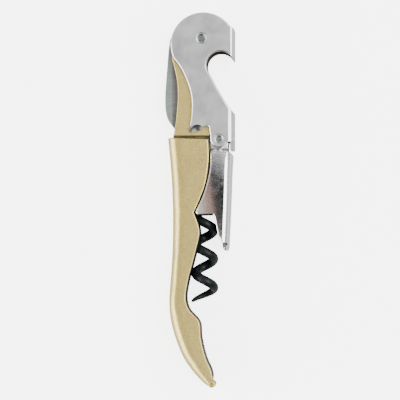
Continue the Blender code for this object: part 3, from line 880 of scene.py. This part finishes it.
def make_lower_lever():
    outline = smooth(LOWER_LEFT, 6) + LOWER_FOOT + TONGUE_LEFT + TONGUE_TIP + LOWER_CORNERS
    web = [(x, y, LOWER_BEND) for x, y in [WEB_START] + smooth(WEB_LINE, 6) + [WEB_END]]
    lever = rounded_plate(outline, -LEVER_HALF, LEVER_HALF, LEVER_RIM)
    lever = combine(lever, bent_block(web, LEVER_HALF + COPLANAR_CLEARANCE), "INTERSECT")
    web[0] = (web[1][0], TONGUE_POCKET_Y - TONGUE_POCKET_EASE, LOWER_BEND)
    lever = combine(lever, bent_block(web, LEVER_INNER, SHEET))
    ear = EAR_LEFT + arc(KNEE_PIVOT, EAR_RADIUS, -10, 190, 40) + EAR_RIGHT
    for sign in (1, -1):
        strip = tube_of([[(x, y, sign * z) for y, z in JOGGLE] for x in EAR_BLOCK_ENDS])
        lever = combine(lever, combine(strip, prism(ear, -BEYOND, BEYOND), "INTERSECT"), "UNION")
    lever = bored(lever, KNEE_PIVOT, LOWER_HOLE_RADIUS, 40)
    for sign in (1, -1):
        lever = combine(lever, ball((*TONGUE_DIMPLE, sign * LEVER_HALF), TONGUE_DIMPLE_RADII))
    # Painted shade inside the channel and in the tongue's dimple
    piece("second_lever_plate", lever, MIRROR, "second_lever", "lower_lever",
          extra=[(CHANNEL_SHADE, is_shaded_inside), (SHADE_PLATE, in_dimple)])


# Rivets

HEAD_RIVET_DIMPLE = 1.22
KNEE_RIVET_DIMPLE = 1.0
RIVET_RIM = 0.22
# The collar under the rivet's head, as (past the head's radius, depth); it fills the hole's play
RIVET_COLLAR = [(-0.35, 1.35), (0.17, 1.35), (0.17, 0.45), (0.0, 0.4)]
# The dished middle, as (past the dimple's radius, depth)
RIVET_DISH = [(0.10, 0.0), (0.02, 0.03), (-0.03, 0.12), (-0.26, 0.60), (-0.34, 0.64)]
# The dish takes painted shade, a darker copy of the blade steel
DISH_INSET = 0.02       # the dish's finish starts this far inside the dimple's radius
DISH_REACH = 0.8        # and stays within this depth


def make_rivet(name, centre, radius, dimple, body, node):
    """A flush rivet with a rounded rim and a dished middle on both ends, the dish in painted shade."""
    top = LEVER_HALF
    collar = [(radius + out, top - down) for out, down in RIVET_COLLAR]
    side = arc((radius - RIVET_RIM, top - RIVET_RIM), RIVET_RIM, 0, 90, 5)
    dish = [(dimple + out, top - down) for out, down in RIVET_DISH] + [(0, top - RIVET_DISH[-1][1])]

    def in_shaded_dish(spot, normal):
        return apart(spot, centre) < dimple - DISH_INSET and abs(spot.z) > top - DISH_REACH

    piece(name, lathe(centre, both_ends(collar + side + dish)), TURNED, body, node, 50,
          [(DISH_SHADE, in_shaded_dish)])


def make_rivets():
    make_rivet("head_rivet_turned", HEAD_PIVOT, HEAD_RIVET_RADIUS, HEAD_RIVET_DIMPLE, "handle",
               "head_rivet")
    make_rivet("knee_rivet_turned", KNEE_PIVOT, KNEE_RIVET_RADIUS, KNEE_RIVET_DIMPLE, "first_lever",
               "knee_rivet")


# Blade

BLADE_SPINE = [(-9.6, 52.5), (-10.1, 48.8), (-10.6, 42.6), (-11.1, 35.8), (-11.2, 31.5), (-10.9, 28.6),
               (-10.1, 26.1), (-8.1, 23.3)]
BLADE_EDGE = [(-6.4, 25.6), (-5.2, 29.5), (-4.6, 35.0), (-4.4, 41.0)]
BLADE_HEEL = (-3.6, 46.0)
BLADE_SHOULDER = (-6.6, 54.0)
BLADE_RIM = 0.12
TANG_RADIUS = 4.6
BLADE_HOLE_RADIUS = 1.65
RIDGE_X = -8.9          # from here outwards both sides are ground down to the blade's back
GRIND_X = -14.0
GRIND_DROP = 0.5        # how deep the grinding goes at GRIND_X
GRIND_TOP = 5.0
GRIND_ENDS = (10.0, 60.0)
FACET_TOP_Y = 47.0
LEVEL = 0.9             # Z part of the normals of the blade's two sides


def beside_ridge(centre, normal):
    """The blade's flat sides between the ridge and the neck, which take painted shade."""
    return centre.x > RIDGE_X and abs(normal.z) > LEVEL and centre.y < FACET_TOP_Y


def make_blade():
    outline = smooth(BLADE_SPINE, 8) + smooth(BLADE_EDGE, 4) + [BLADE_HEEL]
    outline += arc(HEAD_PIVOT, TANG_RADIUS, -95, 120, 48) + [BLADE_SHOULDER]
    plate = rounded_plate(outline, -BLADE_HALF, BLADE_HALF, BLADE_RIM, 3)
    plate = bored(plate, HEAD_PIVOT, BLADE_HOLE_RADIUS, 40)
    wedge = [(RIDGE_X, BLADE_HALF), (RIDGE_X, GRIND_TOP), (GRIND_X, GRIND_TOP),
             (GRIND_X, BLADE_HALF - GRIND_DROP)]
    for sign in (1, -1):
        plate = combine(plate, tube_of([[(x, y, sign * z) for x, z in wedge] for y in GRIND_ENDS]))
    piece("blade_ground", plate, GROUND, "foil_blade", "blade",
          extra=[(FACET_SHADE, beside_ridge)])


# Worm

WIRE_RADIUS = 1.5
WIRE_SIDES = 28
WORM_PITCH = 9.25
TURNS_START_Y = 4.6
SHANK_EASE = 5.0        # length over which the straight shank runs into the first turn
SHANK_LEAD = 0.3        # the close sections start this far above the ease
TAPER_LENGTH = 5.2
TAPER_POWER = 0.64
TIP_RADIUS = 0.42
TIP_Y = WORM_LOW.y + TIP_RADIUS
TIP_CAP_STEPS = 6
WORM_STEPS = 420


def wire_state(y):
    """Centre and radius of the wire at a height on its way down from the hub."""
    down = TURNS_START_Y + 0.5 * SHANK_EASE - y
    if down <= 0:
        turn = 0.0
    elif down < SHANK_EASE:
        turn = down ** 2 / (2 * SHANK_EASE)
    else:
        turn = down - 0.5 * SHANK_EASE
    angle = pi - 2 * pi * turn / WORM_PITCH
    left = min(1.0, max(0.0, (y - TIP_Y) / TAPER_LENGTH))
    thickness = TIP_RADIUS + (WIRE_RADIUS - TIP_RADIUS) * left ** TAPER_POWER
    radius = WORM_OUTER_RADIUS - thickness
    return Vector((WORM_AXIS_X + radius * cos(angle), y, radius * sin(angle))), thickness


def wire_ring(centre, outward, across, radius):
    """One round section of the wire."""
    return [centre + (outward * a + across * b) * radius for a, b in circle((0, 0), 1, WIRE_SIDES)]


def make_worm():
    """The coiled wire, with a rounded cap on its thin tip."""
    start = TURNS_START_Y + 0.5 * SHANK_EASE + SHANK_LEAD
    heights = [start + (TIP_Y - start) * i / WORM_STEPS for i in range(WORM_STEPS + 1)]
    path = [wire_state(y) for y in [WORM_HIGH.y] + heights]
    rings = []
    for i, (centre, thickness) in enumerate(path):
        before = path[max(i - 1, 0)][0]
        after = path[min(i + 1, len(path) - 1)][0]
        along = (after - before).normalized()
        outward = Vector((centre.x - WORM_AXIS_X, 0, centre.z))
        outward = (outward - along * outward.dot(along)).normalized()
        across = along.cross(outward)
        rings.append(wire_ring(centre, outward, across, thickness))
    for i in range(1, TIP_CAP_STEPS + 1):
        angle = pi / 2 * i / (TIP_CAP_STEPS + 0.3)
        rings.append(wire_ring(centre + along * thickness * sin(angle), outward, across,
                               thickness * cos(angle)))
    piece("worm_wire", tube_of(rings), BLACK, "screw", "worm", sharp=60)


def finish_hidden_parts():
    """The hub, pins, spacers and washers keep their CAD shapes."""
    for name, node in frame["nodes"].items():
        if name.startswith(("blade_", "worm_", "knee_spacer")):
            node.data.materials.clear()
            node.data.materials.append(ZINC)


# Studio

FLOOR_SIZE = 3.0        # metres from the middle to each side
FLOOR_COLOUR = (0.85, 0.85, 0.85)
FLOOR_GLOW = 4.4
FLOOR_REFLECTED = (0.60, 0.59, 0.575)
FLOOR_CLEARANCE = 0.0001
# name, direction (azimuth and elevation in degrees), distance, width, height, brightness
LIGHTS = [("left", 196, 28, 1.4, 1.2, 1.1, 9.0),
          ("right", 0, 58, 1.4, 1.3, 1.0, 6.0),
          ("head_end", 90, 45, 1.6, 1.2, 0.5, 0.8)]
# Tone of the studio round the tool, from the tail's side to the head's side
ROOM = [(0.05, (0.06, 0.06, 0.07)), (0.38, (0.55, 0.55, 0.55)), (0.52, (1.0, 1.0, 1.0))]
# Tone of the studio overhead, from left to right: it is what the polished lever mirrors
OVERHEAD = [(0.02, (1.0, 1.0, 1.0)), (0.12, (1.0, 0.94, 0.91)), (0.22, (0.72, 0.47, 0.38)),
            (0.42, (0.45, 0.31, 0.26)), (0.49, (0.10, 0.095, 0.095)), (0.70, (0.04, 0.045, 0.045)),
            (0.76, (0.012, 0.013, 0.015)), (0.86, (0.015, 0.015, 0.015)), (0.90, (1.5, 1.5, 1.5))]
OVERHEAD_REACH = (-0.40, 0.20)      # slopes, x over z, at which OVERHEAD starts and ends
# How much of OVERHEAD shows, from the tail's side to the head's side
OVERHEAD_SHARE = [(0.10, (0, 0, 0)), (0.22, (1, 1, 1)), (0.68, (1, 1, 1)), (0.90, (0.20, 0.20, 0.20))]
OVERHEAD_SHARE_REACH = (-0.2, 0.3)  # slopes, y over z
OVERHEAD_LOWEST = 0.5               # Z part of a direction below which none of it shows


def make_floor():
    """A pale floor that is brighter to the camera than in reflections."""
    size = FLOOR_SIZE
    mesh = bpy.data.meshes.new("floor")
    mesh.from_pydata([(-size, -size, 0), (size, -size, 0), (size, size, 0), (-size, size, 0)], [],
                     [(0, 1, 2, 3)])
    floor = bpy.data.objects.new("floor", mesh)
    floor.location.z = cad_box[0][2] - FLOOR_CLEARANCE
    bpy.context.scene.collection.objects.link(floor)
    made, nodes, links, shader = new_material("floor", FLOOR_COLOUR, 0.0, 0.9)
    seen = nodes.new("ShaderNodeLightPath").outputs["Is Camera Ray"]
    links.new(levels(nodes, links, seen, 0, 1, 0, FLOOR_GLOW), shader.inputs["Emission Strength"])
    links.new(ramp(nodes, links, seen, [(0.0, FLOOR_REFLECTED), (1.0, FLOOR_COLOUR)]),
              shader.inputs["Base Color"])
    shader.inputs["Emission Color"].default_value = (1, 1, 1, 1)
    mesh.materials.append(made)


def make_lights():
    """Large soft lights that all face the middle of the tool."""
    for name, azimuth, elevation, distance, width, height, brightness in LIGHTS:
        data = bpy.data.lights.new(name, "AREA")
        data.shape = "RECTANGLE"
        data.size = width
        data.size_y = height
        data.energy = brightness * pi * width * height
        light = bpy.data.objects.new(name, data)
        a, e = radians(azimuth), radians(elevation)
        direction = Vector((cos(a) * cos(e), sin(a) * cos(e), sin(e)))
        light.location = direction * distance
        light.rotation_euler = direction.to_track_quat("Z", "Y").to_euler()
        bpy.context.scene.collection.objects.link(light)


def make_world():
    """A soft studio: dark beyond the tail, bright beyond the head, with dark panels overhead."""
    world = bpy.data.worlds.new("studio")
    bpy.context.scene.world = world
    world.use_nodes = True
    nodes, links = world.node_tree.nodes, world.node_tree.links
    at = split_place(nodes, links, "Generated")
    room = ramp(nodes, links, levels(nodes, links, at["Y"], -1, 1, 0, 1), ROOM)
    across, along = [calculate(nodes, links, "DIVIDE", at[axis], at["Z"]) for axis in "XY"]
    overhead = ramp(nodes, links, levels(nodes, links, across, *OVERHEAD_REACH, 0, 1), OVERHEAD)
    share = ramp(nodes, links, levels(nodes, links, along, *OVERHEAD_SHARE_REACH, 0, 1), OVERHEAD_SHARE)
    above = calculate(nodes, links, "GREATER_THAN", at["Z"], OVERHEAD_LOWEST)
    where = calculate(nodes, links, "MULTIPLY", share, above)
    back = nodes["Background"]
    links.new(mixed(nodes, links, "MIX", where, room, overhead), back.inputs["Color"])
    back.inputs["Strength"].default_value = 1.0


make_camera()
make_world()
make_lights()
make_floor()
make_grip_shell()
make_tail_roll()
make_liner()
make_neck()
make_upper_lever()
make_lower_lever()
make_rivets()
make_blade()
make_worm()
finish_hidden_parts()
